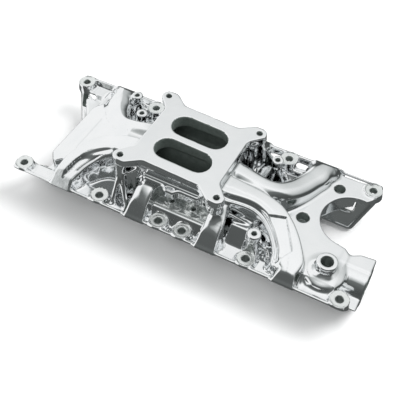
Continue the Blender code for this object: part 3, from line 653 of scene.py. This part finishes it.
def make_rear():
    """The deck behind the plenum, and the wall, shelf and post at its left end."""
    def deck(x, y, z):
        plan = rounded([(REAR_X, -58, 8), (REAR_X, 52, 10), (-180, 60, 8), (-140, 24, 6), (-64, 16, 0),
                        (-64, -24, 0), (-140, -60, 6), (-190, -78, 8)])
        top = np.clip(1 + (x - REAR_X) * 0.5, 0, 18) + np.clip((x + 166) * 0.3, 0, 17)
        return cap(outline_distance(x, y, plan), np.maximum(z - top, DECK_FLOOR - z), 2.5)

    def end_wall(x, y, z):
        wall = web(x, y, z, (-202, 30), (-202, 92), 4, (-2, -5), DECK_FLOOR)
        shelf = [(REAR_X, 26), (-246, 84), (-246, 100), (-170, 100), (-170, 26)]
        shelf = prism(x, y, z, shelf, DECK_FLOOR, -14, 3)
        post = bar(x, y, z, (-247, 90, -6), (-238, 72, -32), 9.5, 6)
        brace = bar(x, y, z, (-243, 84, -8), (-206, 64, -26), 3, 4)
        return melt(melt(wall, shelf, 6), melt(post, brace, 4), 4)

    section("rear_deck", (REAR_X, -80, DECK_FLOOR), (-64, 80, 36), trimmed(deck), 7)
    merge("rear_deck", (-252, 30, -34), (-176, 92, 0), trimmed(end_wall), 5)


def make_pockets():
    """The floors, ribs and wall between the right bank's runners and the stud columns."""
    def front_pocket(x, y, z):
        slope = (z - LEDGE_Z + (-y - 80) * 1.1) * 0.67  # a sloped patch of wall beside the column
        patch = cap(slab(x, 83, 108), np.maximum(slope, slab(z, -30, 12)), 1.5)
        plan = [(84, -84), (150, -84), (138, -46), (84, -46)]
        floor_fill = prism(x, y, z, plan, POCKET_LOW, POCKET_FLOOR, 2)
        ribs = [web(x, y, z, (70, -56), (112, -48), 2.4, (26, 8), -20),
                web(x, y, z, (112, -48), (128, -62), 2.0, (8, 0), -20),
                web(x, y, z, (136, -60), (143, -76), 2.0, (4, -4), -20)]
        for rib in ribs:
            floor_fill = melt(floor_fill, rib, 3)
        return melt(patch, floor_fill, 3)

    merge("right_head_flange", (70, -86, POCKET_LOW), (150, -44, 26), trimmed(front_pocket), 4)

    def rear_pocket(x, y, z):
        plan = [(-140, -84), (-56, -84), (-56, -46), (-118, -46)]
        return prism(x, y, z, plan, POCKET_LOW, POCKET_FLOOR, 2)

    low, high = (-140, -86, POCKET_LOW), (-56, -44, POCKET_FLOOR)
    merge("right_head_flange", low, high, trimmed(rear_pocket), 4)


def make_valley():
    """The rails on the block, the floor between the banks, and the exhaust heat passage."""
    def rear_rail(x, y, z):
        return cap(slab(x, -213, -190), slab(z, RAIL_Z, -30), 1.5)

    def front_rail(x, y, z):
        return cap(slab(x, 150, 172), slab(z, RAIL_Z, -25), 1.5)

    def floor(x, y, z):
        return cap(slab(x, -200, 160), slab(z, -45.5, -40), 1.5)

    def heat(x, y, z):
        skew = x + y * (BANK_X["right"] / FLANGE_Y)
        return cap(np.abs(skew) - 19, slab(z, -40, -12), 3)

    for node, shape, low, high in (("rear_end_rail", rear_rail, (-213, -76, RAIL_Z), (-190, 76, -30)),
                                   ("front_end_rail", front_rail, (150, -76, RAIL_Z), (172, 76, -25)),
                                   ("valley_web", floor, (-200, -66, -46), (160, 66, -40)),
                                   ("heat_crossover", heat, (-32, -100, -40), (32, 100, -12))):
        section(node, low, high, trimmed(shape), 4)


# ----------------------------------------------------------------------------------------------
# Bores, slots, ports and machined seats.
WELL_X, WELL_TOP = 58, 44
PORT_W, PORT_H, PORT_S, PORT_DEPTH = 14.5, 25, 29.5, 19  # half sizes, place down the face, depth
OPENINGS = ((-224, 38, 10, 11), (212, 38, 10, 11), (0, 54, 12, 10))  # places and half sizes
SPOT_R, BOLT_R, STUD_R = 11.9, 5, 3.9
TAPPED = (((160, 3), 8.6, -15), ((186.4, 74.6), 7.6, -15), (HEATER_AT, 8, -18))  # place, radius, floor


def up_slope(bank, x, y, z):
    """Along the bank, down the mating face from its top edge, and back from it."""
    side = SIDE[bank]
    out = FLANGE_Y - side * y
    return x - BANK_X[bank], (out - z) * math.sqrt(0.5), (out + z) * math.sqrt(0.5)


def round_bore(at, radius, low, high, finish=BORED, edge=1.2):
    def shape(x, y, z):
        return np.maximum(np.hypot(x - at[0], y - at[1]) - radius, slab(z, low, high))

    hollow((at[0] - radius, at[1] - radius, low), (at[0] + radius, at[1] + radius, high),
           shape, finish, edge)


def bore_plenum():
    """The two slots through the pad and the wells under them; the right well's floor rises forward."""
    half = SLOT_HALF + SLOT_R + 1
    for side in (1, -1):
        def slot(x, y, z, side=side):
            away = np.hypot(np.maximum(np.abs(x - PAD.x) - SLOT_HALF, 0), y - side * SLOT_Y) - SLOT_R
            return np.maximum(away, slab(z, 20, 80))

        def well(x, y, z, side=side):
            near, far = sorted((side * 3.5, side * 54.5))
            floor = -6 + (np.clip((x - PAD.x) * 0.9, 0, 44) if side < 0 else 18 + 0 * x)
            return cap(cap(slab(x, PAD.x - WELL_X, PAD.x + WELL_X), slab(y, near, far), 8),
                       np.maximum(floor - z, z - WELL_TOP), 4)

        hollow((PAD.x - half, side * SLOT_Y - SLOT_R, 20), (PAD.x + half, side * SLOT_Y + SLOT_R, 80),
               slot, RAW, 1.6)
        hollow((PAD.x - WELL_X, min(0, side * 56), -6), (PAD.x + WELL_X, max(0, side * 56), WELL_TOP),
               well, RAW, 2)


def bore_bank(bank):
    """The ports, the water and heat openings, and the bolts' spotfaces and holes."""
    side = SIDE[bank]
    for spacings in (-1.5, -0.5, 0.5, 1.5):
        def port(x, y, z, spacings=spacings):
            u, s, back = up_slope(bank, x, y, z)
            face = cap(np.abs(u - spacings * PORT_GAP) - PORT_W, np.abs(s - PORT_S) - PORT_H, 5)
            return np.maximum(face, back - PORT_DEPTH)

        at = port_x(bank, spacings)
        near, far = sorted((side * 52, side * PAST_Y))
        hollow((at - 16, near, -60), (at + 16, far, 20), port, RAW)
    for u0, s0, w, h in OPENINGS:
        def opening(x, y, z, u0=u0, s0=s0, w=w, h=h):
            u, s, back = up_slope(bank, x, y, z)
            return np.maximum(cap(np.abs(u - u0) - w, np.abs(s - s0) - h, 3), back - 15)

        at = BANK_X[bank] + u0
        near, far = sorted((side * 50, side * 112))
        hollow((at - 14, near, -60), (at + 14, far, 0), opening, RAW)
    for seat in SEATS[bank]:
        def spot(x, y, z, seat=seat):
            return np.maximum(np.hypot(x - seat.x, y - seat.y) - SPOT_R, slab(z, 0, 14))

        hollow((seat.x - 12.4, seat.y - 12.4, 0), (seat.x + 12.4, seat.y + 12.4, 12), spot, FACED, 0.8)
        round_bore(seat, BOLT_R, -60, 12)


def bore_holes():
    """Stud holes, tapped ports, and the bosses' bores."""
    for at in studs():
        round_bore(at, STUD_R, 30, 80)
    for at, radius, low in TAPPED:
        round_bore(at, radius, low, 40)
    for at, top, _, _ in ACCESSORY.values():
        round_bore(at, 3.4, top - 22, top + 8)

    def choke_face(x, y, z):
        return np.maximum(slab(x, *CHOKE_X), slab(y, -77, -61)) + 0 * z

    paint((CHOKE_X[0], -77, 5), (CHOKE_X[1], -58, 20), choke_face, FACED)
    for at in CHOKE.values():
        round_bore(at, 2.8, 4, 30)


def cut_details():
    """The thermostat mouth, the vacuum rail's pan, and the grooves and dips in the left flange's ledge."""
    def mouth(x, y, z):
        return np.maximum(np.hypot(y - MOUTH_Y, z - MOUTH_Z) - MOUTH_R, slab(x, 246, 290))

    hollow((246, -66, NECK_LOW), (282, -22, 0), mouth, RAW)

    def rail_pan(x, y, z):
        plan = np.hypot(np.maximum(np.abs(x - BULGE_X) - 3.5, 0), y + 69.5) - PAN_R
        return np.maximum(plan, slab(z, 36, 60))

    hollow((-14, -74, 36), (6, -64, 46), rail_pan, None, 1.0)

    def lip_groove(x, y, z):
        return cap(slab(x, 170, 226), np.maximum(slab(y, 102.6, 105.4), slab(z, -5, 9)), 1)

    hollow((170, 102, -5), (226, 106, 4), lip_groove, None, 1.0)
    for low_x, high_x in ((112, 136), (70, 88)):
        def ledge_drop(x, y, z, low_x=low_x, high_x=high_x):
            return cap(slab(x, low_x, high_x), np.maximum(slab(y, 86, 100.6), slab(z, -13, -2)), 2)

        hollow((low_x, 86, -13), (high_x, 101, -4), ledge_drop, None, 1.0)


def share_neck():
    """The neck takes over the crossover's metal in front of the joint between them."""
    ahead = (AXES[0] > NECK_JOINT_X)[:, None, None] & (AXES[1] < NECK_JOINT_Y)[None, :, None]
    crossover, neck = (PIECES.index(n) + 1 for n in ("coolant_crossover", "thermostat_neck"))
    LABEL[ahead & (LABEL == crossover)] = neck


# ----------------------------------------------------------------------------------------------
# The skin: surface nets over the lattice, shared out by section.
def net():
    """Vertices in voxels, quads, the labels of their two sides, and the lattice points outside."""
    inside = SOLID < 0
    owner = np.where(inside, LABEL, 0)
    strides = (COUNT[1] * COUNT[2], COUNT[2], 1)
    total = int(np.prod(COUNT))
    flat_owner, flat_solid = owner.ravel(), SOLID.ravel()
    count_skin = np.zeros(total, np.float32)
    count_wall = np.zeros(total, np.float32)
    sums_skin = np.zeros((3, total), np.float32)
    sums_wall = np.zeros((3, total), np.float32)
    quads, sides, outs = [], [], []
    for axis in range(3):
        cut_low = [slice(None)] * 3
        cut_high = [slice(None)] * 3
        cut_low[axis], cut_high[axis] = slice(0, -1), slice(1, None)
        differs = owner[tuple(cut_low)] != owner[tuple(cut_high)]
        places = np.nonzero(differs)
        low = places[0] * strides[0] + places[1] * strides[1] + places[2]
        high = low + strides[axis]
        a, b = flat_owner[low], flat_owner[high]
        skin = (a == 0) | (b == 0)
        va, vb = flat_solid[low], flat_solid[high]
        t = np.where(skin, va / np.where(va == vb, 1, va - vb), 0.5).astype(np.float32)
        other = [i for i in range(3) if i != axis]
        if axis == 1:
            other = [2, 0]
        s, r = strides[other[0]], strides[other[1]]
        around = [low - s - r, low - r, low, low - s]
        point = [places[i].astype(np.float32) for i in range(3)]
        point[axis] = point[axis] + t
        for cell in around:
            for mask, counts, sums in ((skin, count_skin, sums_skin), (~skin, count_wall, sums_wall)):
                counts += np.bincount(cell[mask], minlength=total)
                for i in range(3):
                    sums[i] += np.bincount(cell[mask], weights=point[i][mask], minlength=total)
        quads.append(np.stack(around, 1))
        sides.append(np.stack([a, b], 1))
        outs.append(np.where(a == 0, low, high))
    used = np.nonzero((count_skin + count_wall) > 0)[0]
    on_skin = count_skin[used] > 0
    counts = np.where(on_skin, count_skin[used], count_wall[used])
    sums = [np.where(on_skin, skin[used], wall[used]) for skin, wall in zip(sums_skin, sums_wall)]
    points = np.stack([total_of / counts for total_of in sums], 1)
    renumber = np.zeros(total, np.int32)
    renumber[used] = np.arange(len(used))
    return points, renumber[np.concatenate(quads)], np.concatenate(sides), np.concatenate(outs)


def sample(field, points):
    """The field's values between lattice points."""
    base = np.clip(np.floor(points).astype(int), 0, COUNT - 2)
    f = np.clip(points - base, 0, 1)
    value = 0
    for dx in (0, 1):
        for dy in (0, 1):
            for dz in (0, 1):
                weight = np.abs(1 - dx - f[:, 0]) * np.abs(1 - dy - f[:, 1]) * np.abs(1 - dz - f[:, 2])
                value = value + weight * field[base[:, 0] + dx, base[:, 1] + dy, base[:, 2] + dz]
    return value


SLOPE_STEP = 0.9  # in voxels


def slopes(points):
    """Outward normals of the field."""
    made = []
    for axis in range(3):
        off = np.zeros(3)
        off[axis] = SLOPE_STEP
        made.append(sample(SOLID, points + off) - sample(SOLID, points - off))
    made = np.stack(made, 1)
    return made / np.maximum(np.linalg.norm(made, axis=1, keepdims=True), 1e-9)


def make_pieces(materials):
    """One mesh per section, closed, sharing the walls between sections."""
    points, quads, sides, outs = net()
    normals = slopes(points)
    finish = FINISH.ravel()[outs]
    world = (points * VOXEL + LOW + np.array(ORIGIN)) * MM
    for number, node in enumerate(PIECES, 1):
        forward = sides[:, 0] == number
        backward = sides[:, 1] == number
        faces = np.concatenate([quads[forward], quads[backward][:, ::-1]])
        marks = np.concatenate([finish[forward], finish[backward]])
        skin = np.concatenate([(sides[forward] == 0).any(1), (sides[backward] == 0).any(1)])
        if len(faces) == 0:
            continue
        marks = np.where(skin, marks, POLISHED)
        used, faces = np.unique(faces, return_inverse=True)
        faces = faces.reshape(-1, 4)
        mesh = bpy.data.meshes.new(f"{node}_skin")
        mesh.vertices.add(len(used))
        mesh.vertices.foreach_set("co", world[used].ravel())
        mesh.loops.add(faces.size)
        mesh.loops.foreach_set("vertex_index", faces.ravel())
        mesh.polygons.add(len(faces))
        mesh.polygons.foreach_set("loop_start", np.arange(0, faces.size, 4))
        for material in materials:
            mesh.materials.append(material)
        mesh.polygons.foreach_set("material_index", marks.astype(np.int32))
        mesh.update(calc_edges=True)
        mesh.validate()
        mesh.shade_smooth()
        mesh.normals_split_custom_set_from_vertices(normals[used])
        piece = bpy.data.objects.new(f"{node}_casting", mesh)
        bpy.context.scene.collection.objects.link(piece)
        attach(piece, "root")
        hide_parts(*CAD_NODES.get(node, [node]))


# ----------------------------------------------------------------------------------------------
# Materials.
class Nodes:
    """A short way to build a node material."""

    def __init__(self, name):
        self.material = bpy.data.materials.new(name)
        self.material.use_nodes = True
        self.tree = self.material.node_tree
        self.shader = self.tree.nodes["Principled BSDF"]
        self.place = self.add("ShaderNodeTexCoord").outputs["Object"]

    def add(self, kind, **values):
        node = self.tree.nodes.new(kind)
        for key, value in values.items():
            if key in node.inputs:
                node.inputs[key].default_value = value
            else:
                setattr(node, key, value)
        return node

    def link(self, a, b):
        self.tree.links.new(a, b)

    def noise(self, scale, detail=3.0, roughness=0.5):
        node = self.add("ShaderNodeTexNoise", Scale=scale, Detail=detail, Roughness=roughness)
        self.link(self.place, node.inputs["Vector"])
        return node.outputs["Fac"]

    def ramp(self, source, low, high, start=0.35, end=0.65):
        node = self.add("ShaderNodeMapRange")
        for key, value in (("From Min", start), ("From Max", end), ("To Min", low), ("To Max", high)):
            node.inputs[key].default_value = value
        self.link(source, node.inputs["Value"])
        return node.outputs["Result"]

    def tint(self, source, dark, light):
        node = self.add("ShaderNodeMix", data_type="RGBA")
        node.inputs[6].default_value = (*dark, 1)
        node.inputs[7].default_value = (*light, 1)
        self.link(source, node.inputs[0])
        self.link(node.outputs[2], self.shader.inputs["Base Color"])

    def bumps(self, *layers):
        before = None
        for source, strength, distance in layers:
            node = self.add("ShaderNodeBump", Strength=strength, Distance=distance)
            self.link(source, node.inputs["Height"])
            if before:
                self.link(before, node.inputs["Normal"])
            before = node.outputs["Normal"]
        self.link(before, self.shader.inputs["Normal"])


def polished():
    made = Nodes("polished_casting")
    made.shader.inputs["Metallic"].default_value = 1.0
    made.tint(made.noise(35, 2), (0.86, 0.88, 0.89), (0.95, 0.955, 0.96))
    made.link(made.ramp(made.noise(60, 4), 0.045, 0.12), made.shader.inputs["Roughness"])
    made.bumps((made.noise(70, 2, 0.4), 0.13, 0.0012), (made.noise(420, 3), 0.06, 0.0002))
    return made.material


def faced():
    made = Nodes("ground_face")
    made.shader.inputs["Metallic"].default_value = 1.0
    made.tint(made.noise(260, 4), (0.80, 0.83, 0.82), (0.90, 0.92, 0.91))
    made.link(made.ramp(made.noise(500, 3), 0.24, 0.38), made.shader.inputs["Roughness"])
    made.bumps((made.noise(1600, 3), 0.35, 0.0002),)
    return made.material


def raw():
    made = Nodes("raw_cast_interior")
    made.shader.inputs["Metallic"].default_value = 0.35
    made.tint(made.noise(140, 5, 0.6), (0.10, 0.125, 0.115), (0.27, 0.31, 0.29))
    made.link(made.ramp(made.noise(300, 4), 0.6, 0.85), made.shader.inputs["Roughness"])
    made.bumps((made.noise(520, 5, 0.65), 0.7, 0.0008),)
    return made.material


def bored():
    made = Nodes("bored_hole")
    made.shader.inputs["Metallic"].default_value = 0.9
    made.tint(made.noise(300, 3), (0.34, 0.38, 0.37), (0.60, 0.64, 0.62))
    made.link(made.ramp(made.noise(400, 3), 0.30, 0.45), made.shader.inputs["Roughness"])
    rings = made.add("ShaderNodeTexWave", Scale=180.0)
    rings.bands_direction = "Z"
    made.link(made.place, rings.inputs["Vector"])
    made.bumps((rings.outputs["Fac"], 0.6, 0.0006),)
    return made.material


def plated():
    made = Nodes("plated_sheet")
    made.shader.inputs["Metallic"].default_value = 1.0
    made.tint(made.noise(90, 4), (0.50, 0.51, 0.49), (0.68, 0.68, 0.64))
    made.link(made.ramp(made.noise(200, 4), 0.28, 0.45), made.shader.inputs["Roughness"])
    made.bumps((made.noise(900, 3), 0.2, 0.0002),)
    return made.material


def floor_finish():
    made = Nodes("pale_floor")
    made.tint(made.noise(3, 2), (0.93, 0.93, 0.935), (0.95, 0.95, 0.95))
    made.link(made.ramp(made.noise(20, 3), 0.75, 0.85), made.shader.inputs["Roughness"])
    made.shader.inputs["Specular IOR Level"].default_value = 0.1
    return made.material


# ----------------------------------------------------------------------------------------------
# Floor, light and camera.
CAMERA_AT = (290.5, -563.3, 709.8)
CAMERA_TURN = [math.radians(a) for a in (26.80, 50.26, 1.41)]  # round, up, roll
FOCAL = 674.5 / 400  # in frame widths
SENSOR = 36  # mm across
FLOOR_R, FLOOR_SIDES, FLOOR_DROP = 6, 64, 0.0004  # metres


def make_floor():
    mesh = bpy.data.meshes.new("floor")
    angles = np.linspace(0, 2 * math.pi, FLOOR_SIDES, endpoint=False)
    edge = [(FLOOR_R * math.cos(a), FLOOR_R * math.sin(a), 0) for a in angles]
    mesh.from_pydata(edge, [], [list(range(FLOOR_SIDES))])
    floor = bpy.data.objects.new("floor", mesh)
    floor.location.z = -FLOOR_DROP
    mesh.materials.append(floor_finish())
    bpy.context.scene.collection.objects.link(floor)
    floor.visible_glossy = False


def make_light(name, at, size, power, target=(0, 0, 0.05)):
    light = bpy.data.lights.new(name, "AREA")
    light.shape = "RECTANGLE"
    light.size, light.size_y = size
    light.energy = power
    lamp = bpy.data.objects.new(name, light)
    lamp.location = at
    lamp.rotation_euler = (Vector(at) - Vector(target)).to_track_quat("Z", "Y").to_euler()
    lamp.visible_glossy = False
    bpy.context.scene.collection.objects.link(lamp)


SLATE, WHITE = (0.93, 1.0, 0.985, 1), (1, 1, 1, 1)
# Brightness by the height of a direction, from straight down (0) to straight up (1).
FAR_SKY = [(0.0, 0.10), (0.49, 0.07), (0.53, 0.16), (0.62, 0.50), (0.75, 0.66), (0.88, 0.86),
           (0.95, 0.95), (1.0, 1.0)]
NEAR_SKY = [(0.0, 0.12), (0.30, 0.11), (0.50, 0.07), (0.70, 0.09), (0.80, 0.11), (0.93, 0.16),
            (0.975, 0.6), (1.0, 1.0)]
SOFT_BOX = 0.95


def make_world():
    """A white studio ceiling, a soft box to the left, and dark surroundings below and in front."""
    world = bpy.data.worlds.new("studio")
    world.use_nodes = True
    tree = world.node_tree
    back = tree.nodes["Background"]
    split = tree.nodes.new("ShaderNodeSeparateXYZ")
    tree.links.new(tree.nodes.new("ShaderNodeTexCoord").outputs["Generated"], split.inputs[0])

    def span(axis, low, high):
        node = tree.nodes.new("ShaderNodeMapRange")
        node.interpolation_type = "SMOOTHSTEP"
        tree.links.new(split.outputs[axis], node.inputs["Value"])
        node.inputs["From Min"].default_value, node.inputs["From Max"].default_value = low, high
        return node.outputs["Result"]

    def blend(factor, a, b):
        node = tree.nodes.new("ShaderNodeMix")
        tree.links.new(factor, node.inputs[0])
        for socket, value in ((node.inputs[2], a), (node.inputs[3], b)):
            if isinstance(value, float):
                socket.default_value = value
            else:
                tree.links.new(value, socket)
        return node.outputs[0]

    def sky(levels):
        height = tree.nodes.new("ShaderNodeMapRange")
        tree.links.new(split.outputs["Z"], height.inputs["Value"])
        height.inputs["From Min"].default_value = -1
        ramp = tree.nodes.new("ShaderNodeValToRGB")
        tree.links.new(height.outputs["Result"], ramp.inputs[0])
        elements = ramp.color_ramp.elements
        for position, _ in levels[1:-1]:
            elements.new(position)
        for element, (position, level) in zip(elements, levels):
            element.position = position
            element.color = (level, level, level, 1)
        return ramp.outputs[0]

    level = blend(span("Y", -0.15, 0.15), sky(NEAR_SKY), sky(FAR_SKY))
    product = tree.nodes.new("ShaderNodeMath")
    product.operation = "MULTIPLY"
    tree.links.new(span("X", -0.42, -0.52), product.inputs[0])
    tree.links.new(span("Z", -0.45, -0.25), product.inputs[1])
    level = blend(product.outputs[0], level, SOFT_BOX)
    tint = tree.nodes.new("ShaderNodeMix")
    tint.data_type = "RGBA"
    tint.inputs[6].default_value, tint.inputs[7].default_value = SLATE, WHITE
    tree.links.new(level, tint.inputs[0])
    tree.links.new(tint.outputs[2], back.inputs["Color"])
    tree.links.new(level, back.inputs["Strength"])
    bpy.context.scene.world = world


def make_camera():
    around, up_angle, roll = CAMERA_TURN
    back = Vector((math.sin(around) * math.cos(up_angle), -math.cos(around) * math.cos(up_angle),
                   math.sin(up_angle)))
    right = Vector((math.cos(around), math.sin(around), 0))
    up = back.cross(right)
    turned_right = math.cos(roll) * right + math.sin(roll) * up
    turned_up = -math.sin(roll) * right + math.cos(roll) * up
    camera = bpy.data.cameras.new("camera")
    camera.sensor_width = SENSOR
    camera.lens = SENSOR * FOCAL
    camera.clip_start, camera.clip_end = 0.05, 50
    holder = bpy.data.objects.new("camera", camera)
    matrix = Matrix((turned_right, turned_up, back)).transposed().to_4x4()
    matrix.translation = (Vector(CAMERA_AT) + ORIGIN) * MM
    holder.matrix_world = matrix
    bpy.context.scene.collection.objects.link(holder)
    bpy.context.scene.camera = holder


def finish_hardware():
    """The shield and its screws keep their CAD shape."""
    steel = plated()
    for node in ["oil_shield"] + [f"shield_screw_{n}" for n in range(1, 5)]:
        for slot in bpy.data.objects[node].material_slots:
            slot.material = steel


make_plenum()
make_runners()
for bank_name in SIDE:
    make_flange(bank_name)
for bank_name in SIDE:
    make_bosses(bank_name)
make_front()
make_accessory_bosses()
make_right_side()
make_rear()
make_pockets()
make_valley()
bore_plenum()
for bank_name in SIDE:
    bore_bank(bank_name)
bore_holes()
cut_details()
share_neck()
make_pieces([polished(), faced(), raw(), bored()])
finish_hardware()
make_floor()
make_world()
make_light("key", (1.2, 1.1, 1.8), (1.4, 1.4), 45)
make_light("fill", (0.3, -1.4, 1.6), (1.6, 1.6), 16)
make_camera()
bpy.context.scene.view_settings.view_transform = "Standard"
